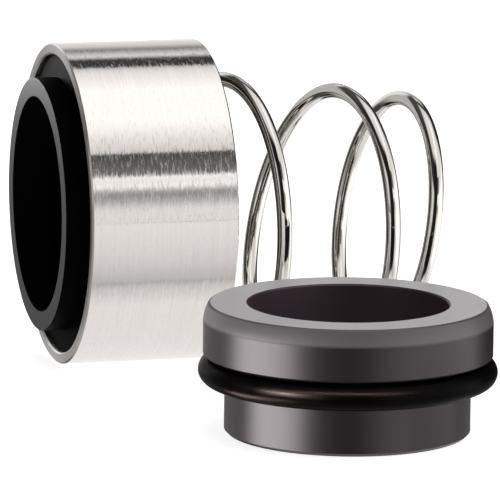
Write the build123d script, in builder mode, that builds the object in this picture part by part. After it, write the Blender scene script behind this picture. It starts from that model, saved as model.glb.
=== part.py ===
"""Mechanical shaft seal for a 30 mm shaft: a rotary head and its stationary seat, laid out side by side.

The seat stands on its boss with its bore along Z, and the centre of its base is the origin.
The rotary head lies on its steel shell behind the seat, with its axis along X and its nose towards -X.
"""

from build123d import *
from math import cos, hypot, pi, radians, sin
import os

os.makedirs("parts", exist_ok=True)

# ---------------------------------------------------------------- driving dimensions (mm)
shaft_d = 30.0

# where the rotary head lies, measured from the centre of the seat's base
head_x = -31.7          # front edge of the retainer shell
head_y = 62.0           # axis of the head

# retainer shell: a turned steel sleeve with one inner lip
shell_od = 52.0
shell_len = 24.0
shell_id = 48.4
lip_id = 42.0
lip_front = 11.0
lip_thickness = 1.8
shell_edge = 0.25

# rotary face ring: black carbon, pressed into the front of the shell
nose_od = 41.0
nose_bore = 34.8
nose_reach = 3.0        # how far the nose stands out of the shell
shoulder_recess = 0.8   # how far the shoulder lies inside the shell's rim
bore_step = 4.3         # depth behind the rim at which the bore narrows
shaft_hole = 30.4
nose_edge = 0.25
nose_root = 0.4

# shaft O-ring, at the size that it has on the shaft
shaft_ring_section = 3.5
shaft_ring_front = 6.4

# thrust ring between the O-ring and the spring
thrust_od = 47.6
thrust_flange = 1.5
thrust_gap = 0.1
spigot_gap = 0.2        # between the ring's front spigot and the O-ring's pocket
collar_od = 38.2
collar_len = 2.0
thrust_edge = 0.3

# spring: right-handed round wire, closed at both ends, leaning under its own weight
wire_d = 2.5
coil_d = 41.4           # of the first coil, to the middle of the wire
narrowing = 0.8         # how much smaller each coil is than the one before
spring_turns = 4.55
open_pitch = 20.0
closed_pitch = 2.62     # of turns that lie together
opening_from = 1.34     # turn at which the pitch starts to open
opening_over = 0.61     # turns that the opening takes
closing_from = 2.64
closing_over = 1.71
tip_from = 4.0          # from this turn on the last coil bends back to the one before
tip_back = 2.0
lean_sideways = 3.9     # degrees away from the seat
lean_down = 6.6         # degrees of droop
lean_over = 11.0        # length of spring in which the lean is reached
spring_seat_gap = 0.05
points_per_turn = 16

# stationary seat: stepped silicon carbide ring
seat_bore = 31.0
boss_d = 38.0
flange_d = 44.7
face_d = 43.0
seat_h = 20.1
flange_bottom = 12.1
shoulder_bottom = 17.4  # where the flange's side curves in towards the sealing face
shoulder_turn = 5.0     # degrees by which the curve starts off the side
seat_edge = 0.25
boss_edge = 0.5
pin_slot_w = 4.0
pin_slot_depth = 5.0

# seat O-ring on the boss, under the flange
seat_ring_section = 4.1
seat_ring_z = 9.65

# ---------------------------------------------------------------- reference planes and depths
head_z = shell_od / 2
head_origin = (head_x, head_y, head_z)
head_axis = Axis(head_origin, (1, 0, 0))
head_section = Plane(origin=head_origin, x_dir=(1, 0, 0), z_dir=(0, -1, 0))

# depths along the head, from the shell's front edge
lip_back = lip_front + lip_thickness
shaft_ring_back = shaft_ring_front + shaft_ring_section
flange_front = lip_back + thrust_gap
flange_back = flange_front + thrust_flange
pocket_r = shaft_d / 2 + shaft_ring_section


def rings_at(part, place):
    """The part's circular edges in one of its planes across X: 0 is the first from the nose, -1 the last."""
    return part.edges().filter_by(GeomType.CIRCLE).group_by(Axis.X)[place]


# ---------------------------------------------------------------- retainer shell
with BuildPart() as retainer_shell:
    with BuildSketch(head_section):
        with BuildLine():
            Polyline(
                (0, shell_id / 2),
                (0, shell_od / 2),
                (shell_len, shell_od / 2),
                (shell_len, shell_id / 2),
                (lip_back, shell_id / 2),
                (lip_back, lip_id / 2),
                (lip_front, lip_id / 2),
                (lip_front, shell_id / 2),
                close=True,
            )
        make_face()
    revolve(axis=head_axis)
    chamfer(rings_at(retainer_shell, 0) + rings_at(retainer_shell, -1), shell_edge)

# ---------------------------------------------------------------- rotary face ring
with BuildPart() as rotary_face_ring:
    with BuildSketch(head_section):
        with BuildLine():
            Polyline(
                (-nose_reach, nose_bore / 2),
                (-nose_reach, nose_od / 2),
                (shoulder_recess, nose_od / 2),
                (shoulder_recess, shell_id / 2),
                (lip_front, shell_id / 2),
                (lip_front, pocket_r),
                (shaft_ring_front, pocket_r),
                (shaft_ring_front, shaft_hole / 2),
                (bore_step, shaft_hole / 2),
                (bore_step, nose_bore / 2),
                close=True,
            )
        make_face()
    revolve(axis=head_axis)
    fillet(rings_at(rotary_face_ring, 1).sort_by(SortBy.RADIUS)[0], nose_root)
    chamfer(rings_at(rotary_face_ring, 0), nose_edge)

# ---------------------------------------------------------------- shaft O-ring
with BuildPart() as shaft_o_ring:
    with BuildSketch(head_section):
        with Locations((shaft_ring_front + shaft_ring_section / 2, shaft_d / 2 + shaft_ring_section / 2)):
            Circle(shaft_ring_section / 2)
    revolve(axis=head_axis)

# ---------------------------------------------------------------- thrust ring
with BuildPart() as thrust_ring:
    with BuildSketch(head_section):
        with BuildLine():
            Polyline(
                (shaft_ring_back, shaft_hole / 2),
                (shaft_ring_back, pocket_r - spigot_gap),
                (flange_front, pocket_r - spigot_gap),
                (flange_front, thrust_od / 2),
                (flange_back, thrust_od / 2),
                (flange_back, collar_od / 2),
                (flange_back + collar_len, collar_od / 2),
                (flange_back + collar_len, shaft_hole / 2),
                close=True,
            )
        make_face()
    revolve(axis=head_axis)
    chamfer(rings_at(thrust_ring, -1).sort_by(SortBy.RADIUS)[-1], thrust_edge)

# ---------------------------------------------------------------- spring
# The coil follows an axis that starts square to the thrust ring, bends over a short length as the
# spring leans to one side and down, and then runs straight.
lean = radians(hypot(lean_sideways, lean_down))
bend_r = lean_over / lean
lean_y = lean_sideways / hypot(lean_sideways, lean_down)
lean_z = -lean_down / hypot(lean_sideways, lean_down)
spring_seat = Vector(head_x + flange_back + spring_seat_gap + wire_d / 2, head_y, head_z)


def eased(t):
    """Area under the curve 3t^2 - 2t^3, which rises from 0 to 1 while t goes from 0 to 1."""
    inside = min(max(t, 0), 1)
    return inside**3 - inside**4 / 2 + max(t - 1, 0)


def advance(turn):
    """Distance along the spring's axis: closed coils, open coils, closing coils and the bent-back tip."""
    opened = opening_over * eased((turn - opening_from) / opening_over)
    closed = closing_over * eased((turn - closing_from) / closing_over)
    tip = tip_back * (1 - cos(2 * pi * max(turn - tip_from, 0))) / 2
    return closed_pitch * turn + (open_pitch - closed_pitch) * (opened - closed) - tip


def wire_point(turn):
    """Middle of the wire, which turns from the top of the coil towards the seat as it moves along."""
    along = advance(turn)
    bend = lean * min(along / lean_over, 1)
    straight = max(along - lean_over, 0)
    forward = bend_r * sin(bend) + straight * cos(bend)
    aside = bend_r * (1 - cos(bend)) + straight * sin(bend)
    middle = spring_seat + Vector(forward, lean_y * aside, lean_z * aside)
    across = Vector(0, -sin(2 * pi * turn), cos(2 * pi * turn)) * ((coil_d - narrowing * turn) / 2)
    return middle + across.rotate(Axis((0, 0, 0), (0, -lean_z, lean_y)), bend * 180 / pi)


spring_points = [wire_point(step / points_per_turn) for step in range(round(spring_turns * points_per_turn) + 1)]
with BuildPart() as spring:
    with BuildLine() as spring_path:
        Spline(spring_points)
    with BuildSketch(Plane(origin=spring_path.line @ 0, z_dir=spring_path.line % 0)):
        Circle(wire_d / 2)
    sweep()

# ---------------------------------------------------------------- stationary seat
with BuildPart() as stationary_seat:
    with BuildSketch(Plane.XZ):
        with BuildLine():
            outline = Polyline(
                (face_d / 2, seat_h),
                (seat_bore / 2, seat_h),
                (seat_bore / 2, 0),
                (boss_d / 2, 0),
                (boss_d / 2, flange_bottom),
                (flange_d / 2, flange_bottom),
                (flange_d / 2, shoulder_bottom),
            )
            inward = (-sin(radians(shoulder_turn)), cos(radians(shoulder_turn)))
            TangentArc(outline @ 1, outline @ 0, tangent=inward)
        make_face()
    revolve(axis=Axis.Z)
    seat_rings = stationary_seat.edges().filter_by(GeomType.CIRCLE).group_by(Axis.Z)
    chamfer(seat_rings[0].sort_by(SortBy.RADIUS)[-1], boss_edge)
    chamfer(seat_rings[-1] + seat_rings[1].sort_by(SortBy.RADIUS)[-1], seat_edge)
    # slot for the anti-rotation pin, round at its closed end, in the side away from the open face
    with BuildSketch(Plane.XZ):
        with Locations((0, (pin_slot_depth - pin_slot_w / 2) / 2)):
            Rectangle(pin_slot_w, pin_slot_depth - pin_slot_w / 2)
        with Locations((0, pin_slot_depth - pin_slot_w / 2)):
            Circle(pin_slot_w / 2)
    extrude(amount=-flange_d / 2, mode=Mode.SUBTRACT)

# ---------------------------------------------------------------- seat O-ring
with BuildPart() as seat_o_ring:
    with BuildSketch(Plane.XZ):
        with Locations((boss_d / 2 + seat_ring_section / 2, seat_ring_z)):
            Circle(seat_ring_section / 2)
    revolve(axis=Axis.Z)

# ---------------------------------------------------------------- labels and files
pieces = {
    "retainer_shell": retainer_shell,
    "rotary_face_ring": rotary_face_ring,
    "shaft_o_ring": shaft_o_ring,
    "thrust_ring": thrust_ring,
    "spring": spring,
    "stationary_seat": stationary_seat,
    "seat_o_ring": seat_o_ring,
}
for name, piece in pieces.items():
    piece.part.label = name
    export_step(piece.part, f"parts/{name}.step")
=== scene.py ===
"""Looks of a mechanical shaft seal: a rotary head with its spring, and the stationary seat beside it.

Everything is in metres, in the part's own frame: the seat stands at the origin with its bore along Z, and
the head lies behind it with its axis along X and its nose towards -X.
"""

import bpy
import numpy as np
from mathutils import Matrix, Vector


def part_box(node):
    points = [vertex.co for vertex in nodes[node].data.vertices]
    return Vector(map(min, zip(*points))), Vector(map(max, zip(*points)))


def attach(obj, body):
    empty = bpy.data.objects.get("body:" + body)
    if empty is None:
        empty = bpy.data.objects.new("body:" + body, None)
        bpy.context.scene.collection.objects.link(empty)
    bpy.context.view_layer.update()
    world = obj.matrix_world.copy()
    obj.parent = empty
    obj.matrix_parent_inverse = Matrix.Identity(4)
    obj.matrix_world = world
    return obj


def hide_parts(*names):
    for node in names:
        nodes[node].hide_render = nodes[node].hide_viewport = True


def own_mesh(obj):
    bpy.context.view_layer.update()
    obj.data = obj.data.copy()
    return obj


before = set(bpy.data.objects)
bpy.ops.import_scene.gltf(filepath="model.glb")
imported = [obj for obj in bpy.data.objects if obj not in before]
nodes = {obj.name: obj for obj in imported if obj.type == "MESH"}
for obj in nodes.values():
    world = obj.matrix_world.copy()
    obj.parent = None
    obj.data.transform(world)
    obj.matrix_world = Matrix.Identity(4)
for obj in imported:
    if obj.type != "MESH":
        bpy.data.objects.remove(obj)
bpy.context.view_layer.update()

MM = 0.001


# ---------------------------------------------------------------- retainer shell
# A sleeve turned from stainless steel bar, which holds the head together. The last cut and a fine abrasive
# cloth leave rings round it, so reflections stay sharp round the shell but run out along its length.

shell_low, shell_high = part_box("retainer_shell")
head_axis = (shell_low + shell_high) / 2
head_axis.x = 0


def linear(hex_colour):
    """An sRGB hex colour as the linear RGBA that a shader takes."""
    srgb = np.array([int(hex_colour[i : i + 2], 16) for i in (1, 3, 5)]) / 255
    return (*np.where(srgb <= 0.04045, srgb / 12.92, ((srgb + 0.055) / 1.055) ** 2.4), 1.0)


def add(tree, kind, inputs=None, **settings):
    """Adds a node to a tree. Settings are its properties. An input gets a number, or a socket to link."""
    new = tree.nodes.new(kind)
    for name, value in settings.items():
        setattr(new, name, value)
    for name, value in (inputs or {}).items():
        if isinstance(value, bpy.types.NodeSocket):
            tree.links.new(value, new.inputs[name])
        else:
            new.inputs[name].default_value = value
    return new


def start_material(name):
    """A material with an empty node tree, and that tree."""
    material = bpy.data.materials.new(name)
    material.use_nodes = True
    material.node_tree.nodes.clear()
    return material, material.node_tree


def finish_material(tree, shader):
    """Joins the shader to the material's output."""
    add(tree, "ShaderNodeOutputMaterial", {"Surface": shader.outputs["BSDF"]})


def dress(node, material):
    """Gives a whole CAD node one material."""
    mesh = nodes[node].data
    mesh.materials.clear()
    mesh.materials.append(material)


def face_middles(mesh):
    """The middle of each face of a mesh, a row for each."""
    middles = np.zeros(len(mesh.polygons) * 3)
    mesh.polygons.foreach_get("center", middles)
    return middles.reshape(-1, 3)


def turned_steel(name, tints, roughness, ripple):
    """Stainless steel turned about the head's axis and rubbed with abrasive cloth.

    Two noises change quickly along the piece and slowly round it: the tool's rings, and the short hairs of
    the cloth. Rings tilt the normal a little round the axis, so that each carries the reflections higher or
    lower, and hairs change the roughness. Both are drawn three times as coarse as they are, or they would not
    show.
    """
    material, tree = start_material(name)
    place = add(tree, "ShaderNodeTexCoord").outputs["Object"]
    from_axis = add(tree, "ShaderNodeVectorMath", {0: place, 1: head_axis}, operation="SUBTRACT").outputs[0]
    along = add(tree, "ShaderNodeSeparateXYZ", {0: from_axis}).outputs["X"]
    across = add(tree, "ShaderNodeVectorMath", {0: from_axis, 1: (0, 1, 1)}, operation="MULTIPLY").outputs[0]
    radius = add(tree, "ShaderNodeVectorMath", {0: across}, operation="LENGTH").outputs["Value"]
    outline = add(tree, "ShaderNodeMath", {0: along, 1: radius}, operation="ADD").outputs[0]

    def lines(spacing, length, detail):
        """Noise in lines round the piece, of that spacing and length."""
        step = add(tree, "ShaderNodeMath", {0: outline, 1: 1 / spacing}, operation="MULTIPLY").outputs[0]
        step = add(tree, "ShaderNodeCombineXYZ", {0: step}).outputs[0]
        turn = add(tree, "ShaderNodeVectorMath", {0: across, "Scale": 1 / length}, operation="SCALE")
        spot = add(tree, "ShaderNodeVectorMath", {0: turn.outputs[0], 1: step}, operation="ADD").outputs[0]
        return add(tree, "ShaderNodeTexNoise", {"Vector": spot, "Scale": 1, "Detail": detail}).outputs["Fac"]

    rings = lines(0.35 * MM, 16 * MM, 2)
    hairs = lines(0.18 * MM, 1.3 * MM, 2)
    both = add(tree, "ShaderNodeMix", {0: 0.6, 2: rings, 3: hairs}, data_type="FLOAT").outputs[0]
    tilt = add(
        tree,
        "ShaderNodeMapRange",
        {"Value": both, "From Min": 0.3, "From Max": 0.7, "To Min": -ripple, "To Max": ripple},
        clamp=False,
    ).outputs[0]
    normal = add(tree, "ShaderNodeNewGeometry").outputs["Normal"]
    round_way = add(tree, "ShaderNodeVectorMath", {0: (1, 0, 0), 1: normal}, operation="CROSS_PRODUCT")
    lean = add(
        tree, "ShaderNodeVectorMath", {0: round_way.outputs[0], "Scale": tilt}, operation="SCALE"
    ).outputs[0]
    tilted = add(tree, "ShaderNodeVectorMath", {0: normal, 1: lean}, operation="ADD").outputs[0]
    tilted = add(tree, "ShaderNodeVectorMath", {0: tilted}, operation="NORMALIZE").outputs[0]
    dark, light = tints
    tint = add(
        tree, "ShaderNodeMix", {0: both, 6: linear(dark), 7: linear(light)}, data_type="RGBA"
    ).outputs[2]
    low, high = roughness
    rough = add(
        tree,
        "ShaderNodeMapRange",
        {"Value": hairs, "From Min": 0.42, "From Max": 0.75, "To Min": low, "To Max": high},
    ).outputs[0]
    shader = add(
        tree,
        "ShaderNodeBsdfPrincipled",
        {
            "Base Color": tint,
            "Metallic": 1.0,
            "Roughness": rough,
            "Normal": tilted,
            "Anisotropic": 0.8,
            "Anisotropic Rotation": 0.25,
            "Tangent": add(tree, "ShaderNodeTangent", direction_type="RADIAL", axis="X").outputs[0],
        },
    )
    finish_material(tree, shader)
    return material


shell_steel = turned_steel("turned stainless steel", ("#D2CCC8", "#EFEAE7"), (0.05, 0.32), 0.014)
dress("retainer_shell", shell_steel)

# inside, the shell is left as the tool cuts it, duller than the cloth leaves it outside, and its steel is
# painted
# darker: painted shade in the hollow of the head
inside_steel_with_painted_shade = turned_steel("steel as cut with painted shade", ("#77726F", "#8E8986"), (0.25, 0.45), 0.008)
# the front rim and its edges are filed, which leaves them duller and paler than the cloth does
rim_steel = turned_steel("filed steel edge", ("#E6E2DE", "#F2EFEC"), (0.35, 0.5), 0.008)
shell_mesh = nodes["retainer_shell"].data
shell_mesh.materials.append(inside_steel_with_painted_shade)
shell_mesh.materials.append(rim_steel)
shell_inside_r = 24.2 * MM
rim_depth = 0.3 * MM
on_surface = 0.01 * MM  # a face with its middle this near to a surface lies on it
from_axis = face_middles(shell_mesh) - np.array(head_axis)
wall_inside = np.hypot(from_axis[:, 1], from_axis[:, 2]) < shell_inside_r + on_surface
on_rim = from_axis[:, 0] < shell_low.x + rim_depth
shell_mesh.polygons.foreach_set("material_index", np.where(on_rim, 2, wall_inside).astype(np.int32))


# ---------------------------------------------------------------- rotary face ring
# Resin-filled carbon graphite, turned and pressed into the front of the shell. It is black and matt all
# over, apart from the end of its nose, which is lapped flat to run on the seat.

ring_low, ring_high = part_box("rotary_face_ring")
nose_reach = 3 * MM
shoulder_recess = 0.8 * MM
nose_r, nose_bore_r = 20.5 * MM, 17.4 * MM
bore_step, shaft_hole_r = 4.3 * MM, 15.2 * MM
pocket_front, pocket_r = 6.4 * MM, 18.5 * MM
ring_r = (ring_high.y - ring_low.y) / 2


def rounded(corners, radius, steps=6):
    """A closed profile with an arc in each corner: its points, and the outward normal at each.

    An arc of radius r in a corner that turns by the angle t starts r * tan(t / 2) before the corner. Corners
    run anticlockwise, so outward is to the right of the way round.
    """
    points, normals = [], []
    for i, corner in enumerate(corners):
        before = np.subtract(corner, corners[i - 1])
        after = np.subtract(corners[(i + 1) % len(corners)], corner)
        before, after = before / np.hypot(*before), after / np.hypot(*after)
        turn = np.arctan2(before[0] * after[1] - before[1] * after[0], before @ after)
        out = np.array([before[1], -before[0]])
        start = corner - before * radius * np.tan(abs(turn) / 2)
        centre = start - out * radius * np.sign(turn)
        angle = np.linspace(0, turn, steps)
        normal = np.stack([out[0] * np.cos(angle) - out[1] * np.sin(angle),
                           out[0] * np.sin(angle) + out[1] * np.cos(angle)], -1)  # fmt: skip
        points.append(centre + normal * radius * np.sign(turn))
        normals.append(normal)
    return np.concatenate(points), np.concatenate(normals)


def turned_piece(name, profile, normals, centre, axis, sections=288):
    """A ring about a line along X or Z: a closed profile of (along, radius) carried round the line.

    Each vertex gets the profile's own normal, so flat faces stay flat beside their rounded edges.
    """
    angle = np.linspace(0, 2 * np.pi, sections, endpoint=False)[:, None]

    def place(pair):
        along, out = np.broadcast_to(pair[:, 0], (sections, len(pair))), pair[:, 1]
        across = [out * np.cos(angle), out * np.sin(angle)]
        return np.stack([along, *across] if axis == "X" else [*across, along], -1).reshape(-1, 3)

    count = len(profile)
    index = np.arange(sections * count).reshape(sections, count)
    beside = np.roll(index, -1, 1)
    quads = np.stack([index, beside, np.roll(beside, -1, 0), np.roll(index, -1, 0)], -1)
    mesh = bpy.data.meshes.new(name)
    mesh.from_pydata((place(profile) + np.array(centre)).tolist(), [], quads.reshape(-1, 4).tolist())
    mesh.polygons.foreach_set("use_smooth", np.ones(len(mesh.polygons), bool))
    mesh.normals_split_custom_set_from_vertices(place(normals).tolist())
    piece = bpy.data.objects.new(name, mesh)
    bpy.context.scene.collection.objects.link(piece)
    return piece


def anticlockwise(corners):
    """The corners in the order that has the profile's inside on the left."""
    x, y = np.array(corners).T
    area = np.sum(x * np.roll(y, -1) - y * np.roll(x, -1))
    return corners if area > 0 else corners[::-1]


front = shell_low.x
ring_corners = anticlockwise(
    [
        (front - nose_reach, nose_bore_r),
        (front - nose_reach, nose_r),
        (front + shoulder_recess, nose_r),
        (front + shoulder_recess, ring_r),
        (ring_high.x, ring_r),
        (ring_high.x, pocket_r),
        (front + pocket_front, pocket_r),
        (front + pocket_front, shaft_hole_r),
        (front + bore_step, shaft_hole_r),
        (front + bore_step, nose_bore_r),
    ]
)
edge_r = 0.12 * MM
profile, normals = rounded(ring_corners, edge_r)
face_ring = turned_piece("face_ring", profile, normals, (0, head_axis.y, head_axis.z), "X")


def graphite(name, tones, rough, shine):
    """Carbon graphite: a grain of two near blacks with shallow pores, drawn coarser than it is."""
    material, tree = start_material(name)
    place = add(tree, "ShaderNodeTexCoord").outputs["Object"]
    grain = add(
        tree, "ShaderNodeTexNoise", {"Vector": place, "Scale": 1 / (0.5 * MM), "Detail": 4}
    ).outputs["Fac"]
    dark, light = tones
    tone = add(
        tree, "ShaderNodeMix", {0: grain, 6: linear(dark), 7: linear(light)}, data_type="RGBA"
    ).outputs[2]
    pores = add(tree, "ShaderNodeBump", {"Height": grain, "Strength": 0.15, "Distance": 0.02 * MM}).outputs[0]
    shader = add(
        tree,
        "ShaderNodeBsdfPrincipled",
        {"Base Color": tone, "Roughness": rough, "Specular IOR Level": shine, "Normal": pores},
    )
    finish_material(tree, shader)
    return material


face_ring.data.materials.append(graphite("turned carbon graphite", ("#030304", "#060607"), 0.5, 0.01))
face_ring.data.materials.append(graphite("lapped carbon graphite", ("#161617", "#1E1E20"), 0.36, 0.3))
on_nose_end = face_middles(face_ring.data)[:, 0] < front - nose_reach + on_surface
face_ring.data.polygons.foreach_set("material_index", on_nose_end.astype(np.int32))
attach(face_ring, "rotary_head")
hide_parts("rotary_face_ring")


# ---------------------------------------------------------------- thrust ring
# A turned steel ring behind the shaft O-ring. Its flange takes the spring's first coil, and its collar
# centres it.

# the thrust ring takes the steel of the shell's inside, painted darker: painted shade
dress("thrust_ring", inside_steel_with_painted_shade)


# ---------------------------------------------------------------- O-rings
# Moulded fluoroelastomer rings: one on the seat's boss, and one hidden in the head, round the shaft. The
# rubber is black with a brown cast, and slightly glossy from its grease.

rubber, tree = start_material("fluoroelastomer")
place = add(tree, "ShaderNodeTexCoord").outputs["Object"]
haze = add(tree, "ShaderNodeTexNoise", {"Vector": place, "Scale": 1 / (4 * MM), "Detail": 5}).outputs["Fac"]
tone = add(
    tree, "ShaderNodeMix", {0: haze, 6: linear("#030202"), 7: linear("#070505")}, data_type="RGBA"
).outputs[2]
rough = add(
    tree,
    "ShaderNodeMapRange",
    {"Value": haze, "From Min": 0.3, "From Max": 0.7, "To Min": 0.26, "To Max": 0.36},
).outputs[0]
# the mould's texture, drawn coarser than it is
skin = add(
    tree, "ShaderNodeTexNoise", {"Vector": place, "Scale": 1 / (0.35 * MM), "Detail": 3}
).outputs["Fac"]
bump = add(tree, "ShaderNodeBump", {"Height": skin, "Strength": 0.15, "Distance": 0.03 * MM}).outputs[0]
shader = add(
    tree,
    "ShaderNodeBsdfPrincipled",
    {"Base Color": tone, "Roughness": rough, "Specular IOR Level": 0.025, "Normal": bump},
)
finish_material(tree, shader)
dress("seat_o_ring", rubber)
dress("shaft_o_ring", rubber)


# ---------------------------------------------------------------- spring
# Right-handed compression spring of stainless wire, closed at both ends. Drawing leaves the wire bright, with
# faint lines along it. The spring leans down and away from the seat, because only its first coil is held.

wire_d = 2.5 * MM
coil_d, narrowing = 41.4 * MM, 0.8 * MM
spring_turns = 4.55
open_pitch = 20 * MM
closed_pitch = 2.62 * MM
opening_from, opening_over = 1.34, 0.61
closing_from, closing_over = 2.64, 1.71
tip_from, tip_back = 4.0, 2 * MM
lean_sideways, lean_down, lean_over = np.radians(3.9), np.radians(6.6), 11 * MM
spring_front, spring_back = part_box("spring")
seat_of_spring = Vector((spring_front.x + wire_d / 2, head_axis.y, head_axis.z))


def wire_centre(turn):
    """Middle of the wire at each turn, from the one that lies on the thrust ring.

    The wire runs in a helix round an axis. Its place along the axis is the closed pitch times the turn, plus
    what the open coils add, less what the tip bends back. The axis bends over in an arc and then runs
    straight. Square to it, the wire stands off by half of the coil's diameter, which narrows turn by turn.
    """

    def eased(t):
        """Area under 3t^2 - 2t^3, which rises from 0 to 1 while t goes from 0 to 1."""
        inside = np.clip(t, 0, 1)
        return inside**3 - inside**4 / 2 + np.maximum(t - 1, 0)

    opened = opening_over * eased((turn - opening_from) / opening_over)
    closed = closing_over * eased((turn - closing_from) / closing_over)
    tip = tip_back * (1 - np.cos(2 * np.pi * np.maximum(turn - tip_from, 0))) / 2
    along = closed_pitch * turn + (open_pitch - closed_pitch) * (opened - closed) - tip
    lean = np.hypot(lean_sideways, lean_down)
    bend_r = lean_over / lean
    bend = lean * np.clip(along / lean_over, None, 1)
    straight = np.maximum(along - lean_over, 0)
    forward = bend_r * np.sin(bend) + straight * np.cos(bend)
    aside = bend_r * (1 - np.cos(bend)) + straight * np.sin(bend)
    way = np.array([lean_sideways, -lean_down]) / lean
    angle = 2 * np.pi * turn
    coil_r = (coil_d - narrowing * turn)[:, None] / 2
    across = np.stack([0 * angle, -np.sin(angle), np.cos(angle)], -1) * coil_r
    hinge = np.array([0, -way[1], way[0]])
    turned = (
        across * np.cos(bend)[:, None]
        + np.cross(hinge, across) * np.sin(bend)[:, None]
        + hinge * (across @ hinge * (1 - np.cos(bend)))[:, None]
    )
    middle = np.stack([forward, way[0] * aside, way[1] * aside], -1) + np.array(seat_of_spring)
    return middle + turned


def wire_rings(turns, steps, edge):
    """Turn of each ring of points along the wire, and its radius as a share of the wire's.

    Between the ends, rings lie evenly and the share is 1. At each end the radius follows a quarter circle, of
    the edge's radius, down to the flat.
    """
    fall = np.linspace(0, np.pi / 2, 5)
    one_turn = np.pi * coil_d
    inset = edge / one_turn * (1 - np.cos(fall))
    share = 1 - edge / (wire_d / 2) * (1 - np.sin(fall))
    body = np.linspace(inset[-1], turns - inset[-1], steps)
    turn = np.concatenate([inset[:-1], body, turns - inset[-2::-1]])
    return turn, np.concatenate([share[:-1], np.ones(steps), share[-2::-1]])


def tube(name, centres, radii, sides):
    """A round tube along a line of points: at each point, a circle of its own radius square to the line.

    The circles start at the side that faces the head's nose. UV runs round the tube (U) and along it in
    metres (V).
    """
    ahead = np.gradient(centres, axis=0)
    ahead /= np.linalg.norm(ahead, axis=1)[:, None]
    nearly_x = [1.0, 0.02, 0.01]  # the wire never runs this way, so the cross product is never nothing
    side = np.cross(ahead, nearly_x)
    side /= np.linalg.norm(side, axis=1)[:, None]
    up = np.cross(ahead, side)
    angle = np.linspace(0, 2 * np.pi, sides, endpoint=False)
    ring = side[:, None] * np.cos(angle)[None, :, None] + up[:, None] * np.sin(angle)[None, :, None]
    points = centres[:, None] + ring * radii[:, None, None]
    count = len(centres)
    index = np.arange(count * sides).reshape(count, sides)
    beside = np.roll(index, -1, 1)
    quads = np.stack([index[:-1], beside[:-1], beside[1:], index[1:]], -1).reshape(-1, 4)
    caps = [index[0][::-1].tolist(), index[-1].tolist()]
    mesh = bpy.data.meshes.new(name)
    mesh.from_pydata(points.reshape(-1, 3).tolist(), [], quads.tolist() + caps)
    around = np.arange(sides + 1) / sides
    u = np.stack([around[:-1], around[1:], around[1:], around[:-1]], -1)
    u = np.broadcast_to(u, (count - 1, sides, 4))
    run = np.concatenate([[0], np.cumsum(np.linalg.norm(np.diff(centres, axis=0), axis=1))])
    v = np.stack([run[:-1], run[:-1], run[1:], run[1:]], -1)
    v = np.broadcast_to(v[:, None], (count - 1, sides, 4))
    layer = mesh.uv_layers.new(name="wire")
    uv = np.zeros((len(mesh.loops), 2), np.float32)
    uv[: u.size, 0] = u.reshape(-1)
    uv[: u.size, 1] = v.reshape(-1)
    layer.data.foreach_set("uv", uv.reshape(-1))
    smooth = np.ones(len(mesh.polygons), bool)
    smooth[-2:] = False
    mesh.polygons.foreach_set("use_smooth", smooth)
    piece = bpy.data.objects.new(name, mesh)
    bpy.context.scene.collection.objects.link(piece)
    return piece


turn, share = wire_rings(spring_turns, steps=720, edge=0.2 * MM)
wire = tube("coil_spring", wire_centre(turn), share * wire_d / 2, sides=32)

spring_steel, tree = start_material("drawn stainless wire")
uv = add(tree, "ShaderNodeUVMap", uv_map="wire").outputs[0]
# the die's lines are drawn coarser than they are: 14 of them round the wire, each 9 mm long
line_scale = (14, 1 / (9 * MM), 0)
stretched = add(tree, "ShaderNodeVectorMath", {0: uv, 1: line_scale}, operation="MULTIPLY").outputs[0]
draw_lines = add(tree, "ShaderNodeTexNoise", {"Vector": stretched, "Scale": 1, "Detail": 3}).outputs["Fac"]
tone = add(
    tree, "ShaderNodeMix", {0: draw_lines, 6: linear("#CBC7C2"), 7: linear("#E6E3DE")}, data_type="RGBA"
).outputs[2]
rough = add(
    tree,
    "ShaderNodeMapRange",
    {"Value": draw_lines, "From Min": 0.3, "From Max": 0.7, "To Min": 0.03, "To Max": 0.1},
).outputs[0]
bump = add(tree, "ShaderNodeBump", {"Height": draw_lines, "Strength": 0.12, "Distance": 0.02 * MM}).outputs[0]
shader = add(
    tree,
    "ShaderNodeBsdfPrincipled",
    {"Base Color": tone, "Metallic": 1.0, "Roughness": rough, "Normal": bump},
)
finish_material(tree, shader)
wire.data.materials.append(spring_steel)
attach(wire, "driving_spring")
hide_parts("spring")
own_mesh(wire)


# ---------------------------------------------------------------- stationary seat
# Sintered silicon carbide, ground all over to a dark grey satin. The top face is lapped, so it is smoother
# and mirrors the room at a low angle, and its pale grey is a painted reflection of the room. The sloping
# shoulder is painted paler, as painted light from above, and the bore paler, as painted light inside it. The
# grit of the grinding is drawn coarser than it is.

seat_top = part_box("stationary_seat")[1].z
shoulder_bottom = 17.4 * MM
between_walls_r = 17 * MM  # inside it lies the bore, and outside it the boss and the flange
carbide, tree = start_material("sintered silicon carbide")
place = add(tree, "ShaderNodeTexCoord").outputs["Object"]
grit = add(tree, "ShaderNodeTexNoise", {"Vector": place, "Scale": 1 / (0.4 * MM), "Detail": 4}).outputs["Fac"]
cloud = add(tree, "ShaderNodeTexNoise", {"Vector": place, "Scale": 1 / (9 * MM), "Detail": 3}).outputs["Fac"]
side = add(
    tree, "ShaderNodeMix", {0: cloud, 6: linear("#131012"), 7: linear("#1A1517")}, data_type="RGBA"
).outputs[2]
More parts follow.
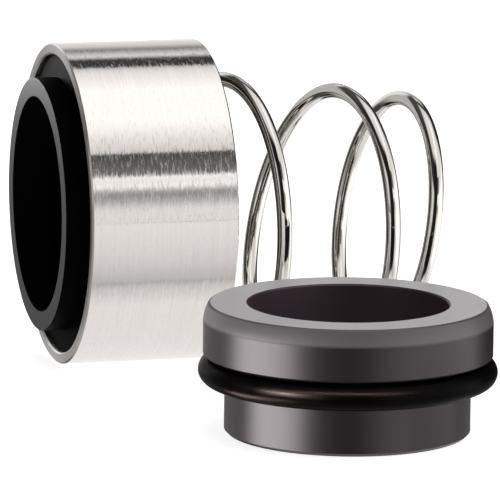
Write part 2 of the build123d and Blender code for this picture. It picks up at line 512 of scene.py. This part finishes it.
# the sloping shoulder outside the bore is painted paler: painted light that falls on it from above
height = add(tree, "ShaderNodeSeparateXYZ", {0: place}).outputs["Z"]
painted_light_on_shoulder = add(
    tree,
    "ShaderNodeMapRange",
    {"Value": height, "From Min": shoulder_bottom - 0.1 * MM, "From Max": shoulder_bottom + 0.4 * MM},
).outputs[0]
across = add(tree, "ShaderNodeVectorMath", {0: place, 1: (1, 1, 0)}, operation="MULTIPLY").outputs[0]
radius = add(tree, "ShaderNodeVectorMath", {0: across}, operation="LENGTH").outputs["Value"]
outside = add(tree, "ShaderNodeMath", {0: radius, 1: between_walls_r}, operation="GREATER_THAN").outputs[0]
painted_light_on_shoulder = add(tree, "ShaderNodeMath", {0: painted_light_on_shoulder, 1: outside}, operation="MULTIPLY").outputs[0]
# the bore is a little browner than the ground outside, and painted paler: painted light inside the bore
side = add(tree, "ShaderNodeMix", {0: outside, 6: linear("#33272D"), 7: side}, data_type="RGBA").outputs[2]
tone = add(
    tree, "ShaderNodeMix", {0: painted_light_on_shoulder, 6: side, 7: linear("#524E50")}, data_type="RGBA"
).outputs[2]
bump = add(tree, "ShaderNodeBump", {"Height": grit, "Strength": 0.2, "Distance": 0.02 * MM}).outputs[0]
shader = add(
    tree,
    "ShaderNodeBsdfPrincipled",
    {
        "Base Color": tone,
        "Roughness": 0.38,
        "IOR": 1.55,
        "Specular Tint": (1.0, 0.9, 0.94, 1.0),
        "Normal": bump,
    },
)
finish_material(tree, shader)
dress("stationary_seat", carbide)

lapped, tree = start_material("lapped silicon carbide with painted reflection")
place = add(tree, "ShaderNodeTexCoord").outputs["Object"]
cloud = add(tree, "ShaderNodeTexNoise", {"Vector": place, "Scale": 1 / (6 * MM), "Detail": 4}).outputs["Fac"]
# the lapped top is painted pale grey: a painted reflection of the bright room at a low angle, added to what
# it mirrors
tone = add(
    tree, "ShaderNodeMix", {0: cloud, 6: linear("#BAB4B7"), 7: linear("#C6C0C3")}, data_type="RGBA"
).outputs[2]
rough = add(
    tree,
    "ShaderNodeMapRange",
    {"Value": cloud, "From Min": 0.3, "From Max": 0.7, "To Min": 0.32, "To Max": 0.4},
).outputs[0]
shader = add(tree, "ShaderNodeBsdfPrincipled", {"Base Color": tone, "Roughness": rough, "IOR": 2.65})
finish_material(tree, shader)
seat_mesh = nodes["stationary_seat"].data
seat_mesh.materials.append(lapped)
on_top = face_middles(seat_mesh)[:, 2] > seat_top - on_surface
seat_mesh.polygons.foreach_set("material_index", on_top.astype(np.int32))


# ---------------------------------------------------------------- floor and light
# A pale table that glows a little, so shadows stay soft, in a white tent with bright and dark panels, which
# the steel mirrors.

table_half = 6.0
table_drop = 0.02 * MM  # below the seat's base, so the two never flicker
table_mesh = bpy.data.meshes.new("table")
corners = [(x * table_half, y * table_half, -table_drop) for x, y in ((-1, -1), (1, -1), (1, 1), (-1, 1))]
table_mesh.from_pydata(corners, [], [(0, 1, 2, 3)])
table = bpy.data.objects.new("table", table_mesh)
bpy.context.scene.collection.objects.link(table)
paint, tree = start_material("pale table")
shader = add(
    tree,
    "ShaderNodeBsdfPrincipled",
    {
        "Base Color": linear("#F4F4F4"),
        "Roughness": 0.8,
        "Emission Color": (1, 1, 1, 1),
        "Emission Strength": 0.8,
    },
)
finish_material(tree, shader)
table_mesh.materials.append(paint)
# mirrors see the tent below the table instead of the table
table.visible_glossy = False
table.visible_shadow = False

# Cards that only mirrors see, each from one side. Like boards set round the parts, they keep the shell and
# the wires from mirroring the seat, and give the coils and the seat's right edge their own lights and darks.


def set_stops(ramp, stops):
    """Gives a colour ramp its stops: pairs of position, from 0 to 1, and level of grey."""
    while len(ramp.color_ramp.elements) < len(stops):
        ramp.color_ramp.elements.new(0.5)
    for element, (position, level) in zip(ramp.color_ramp.elements, stops):
        element.position = position
        element.color = (level,) * 3 + (1,)


def tent_card(name, corners, levels):
    """A card with its corners in mm. It shines by its height: pairs of mm above the table and level."""
    mesh = bpy.data.meshes.new(name)
    mesh.from_pydata((np.array(corners) * MM).tolist(), [], [range(len(corners))])
    board = bpy.data.objects.new(name, mesh)
    bpy.context.scene.collection.objects.link(board)
    paper, tree = start_material(name)
    place = add(tree, "ShaderNodeTexCoord").outputs["Object"]
    rise = add(tree, "ShaderNodeSeparateXYZ", {0: place}).outputs["Z"]
    top = levels[-1][0]
    share = add(tree, "ShaderNodeMath", {0: rise, 1: 1 / (top * MM)}, operation="MULTIPLY").outputs[0]
    ramp = add(tree, "ShaderNodeValToRGB", {0: share})
    set_stops(ramp, [(z / top, level) for z, level in levels])
    lit = add(tree, "ShaderNodeEmission", {"Color": ramp.outputs[0]}).outputs[0]
    clear = add(tree, "ShaderNodeBsdfTransparent").outputs[0]
    behind = add(tree, "ShaderNodeNewGeometry").outputs["Backfacing"]
    both = add(tree, "ShaderNodeMixShader", {0: behind, 1: lit, 2: clear}).outputs[0]
    add(tree, "ShaderNodeOutputMaterial", {"Surface": both})
    mesh.materials.append(paper)
    for ray in ("camera", "diffuse", "transmission", "shadow", "volume_scatter"):
        setattr(board, "visible_" + ray, False)


# upright cards: where each starts and ends on the floor, its lower and upper edge, and its levels
for name, start, end, low, high, levels in [
    (
        "card beside the shell", (-2, 28), (-34, 28), 0, 26,
        [(0, 0.78), (2.5, 0.74), (5.6, 0.55), (7.3, 0.65), (10.4, 0.71), (14.6, 0.82), (21, 0.94), (26, 1.0)],
    ),
    ("card behind the seat", (22, 23.5), (-22, 23.5), 0, 20.4, [(0, 0.01), (20.4, 0.01)]),
    ("card behind the coils", (-12, 80), (22, 80), 38, 51, [(0, 0.6), (51, 0.6)]),
    ("card beside the seat", (26, 30), (48, -6), -16, 21, [(0, 0.3), (6, 0.02), (21, 0.02)]),
    ("card beside the boss", (48, -6), (30, -48), -16, 3, [(0, 0.8), (3, 0.8)]),
]:  # fmt: skip
    tent_card(name, [(*start, low), (*end, low), (*end, high), (*start, high)], levels)
# a round black card lies just over the seat, under the spring
cover_r, cover_z = 22, 20.5
angles = np.linspace(0, 2 * np.pi, 48, endpoint=False)
cover = [(cover_r * np.cos(angle), cover_r * np.sin(angle), cover_z) for angle in angles]
tent_card("card over the seat", cover, [(0, 0.01), (cover_z, 0.01)])

world = bpy.data.worlds.new("white tent")
bpy.context.scene.world = world
world.use_nodes = True
tree = world.node_tree
tree.nodes.clear()
way = add(tree, "ShaderNodeTexCoord").outputs["Generated"]
part = add(tree, "ShaderNodeSeparateXYZ", {0: way}).outputs
ahead, left = (
    add(tree, "ShaderNodeMath", {0: part[name], 1: -1.0}, operation="MULTIPLY").outputs[0] for name in "YX"
)

brightest = 2.0
# The shell mirrors only a narrow strip of the tent, to the right of its middle, and the strip has bands of
# its own: pairs of degrees and level, round the head's axis from the floor behind (-180), under the table
# (-90) and to the front (0), then over the top (90) and to the back (180).
bands = [
    (-180, 1.0), (-70, 1.0), (-54.5, 0.74), (-50.5, 0.55), (-48, 0.65), (-35, 0.82), (-14, 1.0), (4, 0.98),
    (8.7, 0.61), (13.7, 0.35), (16.5, 0.42), (18.6, 0.95), (20.5, 1.3), (23.6, 1.1), (26.5, 1.3), (27.2, 1.3),
    (28.4, 0.2), (36, 0.13), (43.6, 0.08), (45, 0.87), (57, 1.15), (68, 1.4), (97, 1.4), (116.8, 1.0),
    (121, 0.78), (123.6, 0.045), (133.5, 0.05), (138.5, 0.95), (150.5, 0.25), (160, 0.75), (180, 0.95),
]  # fmt: skip
strip_middle, strip_half, strip_soft = -0.26, 0.17, 0.07
angle = add(tree, "ShaderNodeMath", {0: part["Z"], 1: ahead}, operation="ARCTAN2").outputs[0]
share = add(tree, "ShaderNodeMath", {0: angle, 1: 0.5 / np.pi, 2: 0.5}, operation="MULTIPLY_ADD")
strip = add(tree, "ShaderNodeValToRGB", {0: share.outputs[0]})
set_stops(strip, [(degrees / 360 + 0.5, level / brightest) for degrees, level in bands])

# Round the parts, panels hang in the tent: azimuth of the middle (0 in front, 90 to the left), half of the
# width and softness of its edges in degrees, then the same for the height, which runs from -1 straight down
# to 1 straight up, and how bright it is.
panels = [
    (-65, 50, 12, -0.09, 0.50, 0.08, 1.5),  # lit sheet to the right
    (112, 36, 12, 0.00, 0.80, 0.06, 0.06),  # dark curtain to the left, behind
    (72, 30, 10, -0.44, 0.56, 0.06, 0.38),  # grey board to the left, low
    (78, 88, 12, 0.66, 0.20, 0.07, 0.03),  # dark beam over the front and the left
    (175, 50, 12, 0.67, 0.14, 0.06, 0.08),  # dark beam behind
    (-130, 27, 8, 0.30, 0.42, 0.10, 0.03),  # dark gap to the right, behind
    (67, 20, 8, 0.29, 0.19, 0.06, 0.9),  # small window to the left
    (19, 31, 10, 0.07, 0.79, 0.06, 0.015),  # black flag in front
    (172, 18, 8, -0.38, 0.32, 0.06, 0.3),  # dark board behind, low
    (168, 26, 6, -0.59, 0.13, 0.05, 0.02),  # black foot of that board
]
azimuth = add(tree, "ShaderNodeMath", {0: left, 1: ahead}, operation="ARCTAN2").outputs[0]
azimuth = add(tree, "ShaderNodeMath", {0: azimuth}, operation="DEGREES").outputs[0]


def soft_step(value, start, end):
    """0 before the start and 1 after the end, eased between them; the start can be the larger of the two."""
    return add(
        tree,
        "ShaderNodeMapRange",
        {"Value": value, "From Min": start, "From Max": end},
        interpolation_type="SMOOTHSTEP",
    ).outputs[0]


def within(value, middle, half, soft, circle=None):
    """1 within half a width of the middle and 0 outside, with soft edges. Angles are given a full circle."""
    away = add(tree, "ShaderNodeMath", {0: value, 1: middle}, operation="SUBTRACT").outputs[0]
    if circle:
        away = add(
            tree, "ShaderNodeMath", {0: away, 1: circle / 2, 2: -circle / 2}, operation="WRAP"
        ).outputs[0]
    away = add(tree, "ShaderNodeMath", {0: away}, operation="ABSOLUTE").outputs[0]
    return soft_step(away, half + soft, half - soft)


room = add(tree, "ShaderNodeValue").outputs[0]
room.default_value = 1 / brightest
for middle, half, soft, height, half_height, height_soft, level in panels:
    wide = within(azimuth, middle, half, soft, 360)
    high = within(part["Z"], height, half_height, height_soft)
    panel = add(tree, "ShaderNodeMath", {0: wide, 1: high}, operation="MULTIPLY").outputs[0]
    room = add(tree, "ShaderNodeMix", {0: panel, 2: room, 3: level / brightest}, data_type="FLOAT").outputs[0]
in_strip = within(left, strip_middle, strip_half, strip_soft)
tent = add(tree, "ShaderNodeMix", {0: in_strip, 6: room, 7: strip.outputs[0]}, data_type="RGBA").outputs[2]
glow = add(tree, "ShaderNodeBackground", {"Color": tent, "Strength": brightest})
add(tree, "ShaderNodeOutputWorld", {"Surface": glow.outputs[0]})


def softbox(name, place, aim, size, power, pieces):
    """A rectangular lamp at a place, turned to face a point, that lights only some pieces."""
    lamp = bpy.data.lights.new(name, "AREA")
    lamp.shape = "RECTANGLE"
    lamp.size, lamp.size_y = size
    lamp.energy = power
    holder = bpy.data.objects.new(name, lamp)
    facing = (Vector(aim) - Vector(place)).to_track_quat("-Z", "Y")
    holder.matrix_world = Matrix.Translation(place) @ facing.to_matrix().to_4x4()
    bpy.context.scene.collection.objects.link(holder)
    lit = bpy.data.collections.new(name)
    for piece in pieces:
        lit.objects.link(piece)
    holder.light_linking.receiver_collection = lit
    holder.visible_camera = False
    return holder


# The tent alone leaves three pieces flat, so lamps to the left give each its own sheen: the seat's ground
# side, the grease on its O-ring, which shines warm, and the lapped end of the nose.
softbox("seat lamp", (-0.893, -0.05, -0.19), (0, 0, 0), (0.9, 0.4), 12.5, [nodes["stationary_seat"]])
middle_of_ring = (0, 0, 10 * MM)
grease_sheen = (1.0, 0.74, 0.66)
for name, place, size, power in [
    ("ring lamp", (-0.71, -0.32, 0.17), (0.26, 0.08), 70),
    ("long ring lamp", (-0.2, -0.55, 0.53), (1.5, 0.1), 38),
    ("low ring lamp", (-0.57, 0.13, -0.53), (0.7, 0.2), 16),
]:
    holder = softbox(name, place, middle_of_ring, size, power, [nodes["seat_o_ring"]])
    holder.data.color = grease_sheen
    holder.visible_diffuse = False
softbox("nose lamp", (-0.074, 0.204, 0.05), (-0.035, 0.062, 0.04), (0.1, 0.04), 0.1, [face_ring])


# ---------------------------------------------------------------- camera
# A long lens, a little above the parts and to the left of the head's middle.

eye = Vector((-250.11, -858.75, 193.52)) * MM
swing, dip, roll = np.radians([15.262, 10.474, 0.6])
focal_length, sensor_width = 427.025, 36
look = Vector((np.sin(swing) * np.cos(dip), np.cos(swing) * np.cos(dip), -np.sin(dip)))
sideways = Vector((np.cos(swing), -np.sin(swing), 0))
upright = sideways.cross(look)
right = sideways * np.cos(roll) + upright * np.sin(roll)
up = upright * np.cos(roll) - sideways * np.sin(roll)
lens = bpy.data.cameras.new("camera")
lens.sensor_width = sensor_width
lens.lens = focal_length
lens.clip_start = 0.05
lens.clip_end = 100
camera = bpy.data.objects.new("camera", lens)
camera.matrix_world = Matrix.Translation(eye) @ Matrix((right, up, -look)).transposed().to_4x4()
bpy.context.scene.collection.objects.link(camera)
bpy.context.scene.camera = camera
bpy.context.scene.view_settings.view_transform = "Standard"
